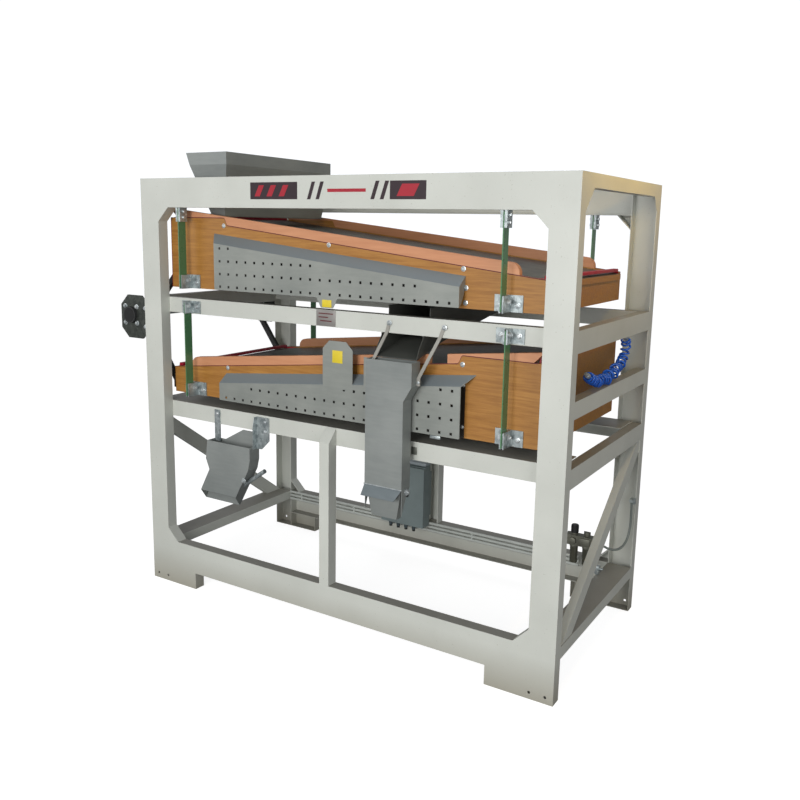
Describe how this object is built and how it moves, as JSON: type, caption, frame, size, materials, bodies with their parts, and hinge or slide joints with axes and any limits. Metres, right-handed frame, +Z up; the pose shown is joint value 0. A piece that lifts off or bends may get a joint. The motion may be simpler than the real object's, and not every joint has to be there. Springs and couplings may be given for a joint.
{
  "type": "seed sorting machine",
  "caption": "Seed sorting machine: two shaking wooden sieve decks on green leaf springs in a cream folded-sheet frame, with hopper, grey chutes and perforated guards",
  "frame": {"origin": "middle of the machine's footprint, on the floor", "axes": "+X runs along the decks from the drive end to the far end, +Y from the front face with the chutes to the rear, +Z up"},
  "size_m": [2.137, 0.991, 1.907],
  "materials": {
    "frame_paint": "cream-grey gloss enamel over folded sheet steel, light scuffs at the feet",
    "zinc": "bright zinc plating, faint blotches",
    "chute_grey": "smooth mid-grey metallic paint on thin bent sheet",
    "sheet_grey": "dull galvanised sheet",
    "dark_iron": "dark painted casting",
    "motor_grey": "grey motor paint",
    "black_rubber": "matt black belt rubber",
    "box_grey": "fine textured grey powder coat",
    "black_plastic": "black moulded plastic",
    "cast_alloy": "sand-textured die casting",
    "clear_bowl": "smoked clear plastic bowls",
    "blue_hose": "glossy blue coiled polyurethane",
    "grey_tube": "grey flexible tube",
    "varnished_wood": "ochre varnished plywood with fine level grain",
    "clamp_wood": "salmon hardwood clamping boards, satin",
    "sieve_steel": "dark perforated sieve plate",
    "guard_grey": "light grey bent sheet, bluish on the bend",
    "spring_green": "green glass-fibre leaf springs"
  },
  "bodies": {
    "frame": {"front_posts": "frame_paint", "rear_posts": "frame_paint", "top_beams": "frame_paint", "bottom_beams": "frame_paint", "feet": "frame_paint", "corner_gussets": "frame_paint", "mid_beams": "frame_paint", "low_beams": "frame_paint", "side_rails": "frame_paint", "top_side_rails": "frame_paint", "centre_posts": "frame_paint", "side_braces": "frame_paint", "top_spring_blocks": "zinc", "mid_spring_hangers": "zinc", "bearing_plates": "dark_iron", "bearing_housings": "dark_iron", "motor": "motor_grey", "motor_bracket": "zinc", "drive_belt": "black_rubber", "hopper": "chute_grey", "hopper_angles": "zinc", "long_chute": "chute_grey", "collecting_trough": "chute_grey", "chute_straps": "zinc", "small_chute": "chute_grey", "small_chute_hangers": "zinc", "control_box": "box_grey", "cable_glands": "black_plastic", "air_unit": "cast_alloy", "air_bowls": "clear_bowl", "blue_hose": "blue_hose", "loop_tube": "grey_tube", "tube_fittings": "zinc", "air_lines": "grey_tube", "clamp_handle": "zinc"},
    "upper_deck": {"upper_box_boards": "varnished_wood", "upper_bottom_pan": "sheet_grey", "upper_clamp_boards": "clamp_wood", "upper_sieve": "sieve_steel", "upper_guards": "guard_grey", "upper_spring_brackets": "zinc", "upper_connecting_rods": "dark_iron"},
    "lower_deck": {"lower_box_boards": "varnished_wood", "lower_bottom_pan": "sheet_grey", "lower_clamp_boards": "clamp_wood", "lower_sieve": "sieve_steel", "lower_guards": "guard_grey", "lower_spring_brackets": "zinc", "lower_connecting_rods": "dark_iron"},
    "drive_shaft": {"eccentric_shaft": "zinc", "shaft_pulley": "dark_iron"},
    "motor_rotor": {"motor_pulley": "dark_iron"},
    "feed_gate_plate": {"feed_gate": "sheet_grey"},
    "chute_flap_plate": {"chute_flap": "guard_grey"},
    "box_lid_panel": {"box_lid": "box_grey"},
    "regulator_knob": {"pressure_knob": "black_plastic"},
    "upper_deep_spring_pair": {"upper_deep_springs": "spring_green"},
    "upper_shallow_spring_pair": {"upper_shallow_springs": "spring_green"},
    "lower_deep_spring_pair": {"lower_deep_springs": "spring_green"},
    "lower_shallow_spring_pair": {"lower_shallow_springs": "spring_green"}
  },
  "joints": [
    {"name": "upper_deck_shake", "type": "slide", "parent": "frame", "child": "upper_deck", "axis": [1, 0, 0], "range_m": [-0.004, 0.004], "stiffness_N_per_m": 20000},
    {"name": "lower_deck_shake", "type": "slide", "parent": "frame", "child": "lower_deck", "axis": [1, 0, 0], "range_m": [-0.004, 0.004], "stiffness_N_per_m": 20000},
    {"name": "shaft_spin", "type": "hinge", "parent": "frame", "child": "drive_shaft", "pos_m": [-1.0035, 0.033, 1.209], "axis": [0, 1, 0], "continuous": true},
    {"name": "motor_spin", "type": "hinge", "parent": "frame", "child": "motor_rotor", "pos_m": [-1.0035, 0.2705, 1.385], "axis": [0, 1, 0], "continuous": true},
    {"name": "feed_gate_slide", "type": "slide", "parent": "frame", "child": "feed_gate_plate", "axis": [-1, 0, 0], "range_m": [0, 0.06]},
    {"name": "chute_flap_hinge", "type": "hinge", "parent": "frame", "child": "chute_flap_plate", "pos_m": [0.3845, -0.4695, 0.6747], "axis": [1, 0, 0], "range_deg": [-25, 25]},
    {"name": "box_lid_hinge", "type": "hinge", "parent": "frame", "child": "box_lid_panel", "pos_m": [-0.1565, 0.3705, 0.335], "axis": [0, 0, -1], "range_deg": [0, 110]},
    {"name": "knob_turn", "type": "hinge", "parent": "frame", "child": "regulator_knob", "pos_m": [0.8435, 0.3505, 0.35], "axis": [0, 0, 1], "range_deg": [-150, 150]},
    {"name": "upper_deep_spring_bend", "type": "hinge", "parent": "frame", "child": "upper_deep_spring_pair", "pos_m": [-0.6785, 0.033, 1.651], "axis": [0, 1, 0], "range_deg": [-1.2, 1.2]},
    {"name": "upper_shallow_spring_bend", "type": "hinge", "parent": "frame", "child": "upper_shallow_spring_pair", "pos_m": [0.8085, 0.033, 1.651], "axis": [0, 1, 0], "range_deg": [-1.2, 1.2]},
    {"name": "lower_deep_spring_bend", "type": "hinge", "parent": "frame", "child": "lower_deep_spring_pair", "pos_m": [0.8305, 0.033, 1.2645], "axis": [0, 1, 0], "range_deg": [-1.2, 1.2]},
    {"name": "lower_shallow_spring_bend", "type": "hinge", "parent": "frame", "child": "lower_shallow_spring_pair", "pos_m": [-0.6565, 0.033, 1.2645], "axis": [0, 1, 0], "range_deg": [-1.2, 1.2]}
  ],
  "couplings": [
    {"joint": "motor_spin", "follows": "shaft_spin", "ratio": 2},
    {"joint": "upper_deep_spring_bend", "follows": "upper_deck_shake", "rad_per_m": -3.5714},
    {"joint": "upper_shallow_spring_bend", "follows": "upper_deck_shake", "rad_per_m": -3.5714},
    {"joint": "lower_deep_spring_bend", "follows": "lower_deck_shake", "rad_per_m": -2.7894},
    {"joint": "lower_shallow_spring_bend", "follows": "lower_deck_shake", "rad_per_m": -2.7894}
  ]
}
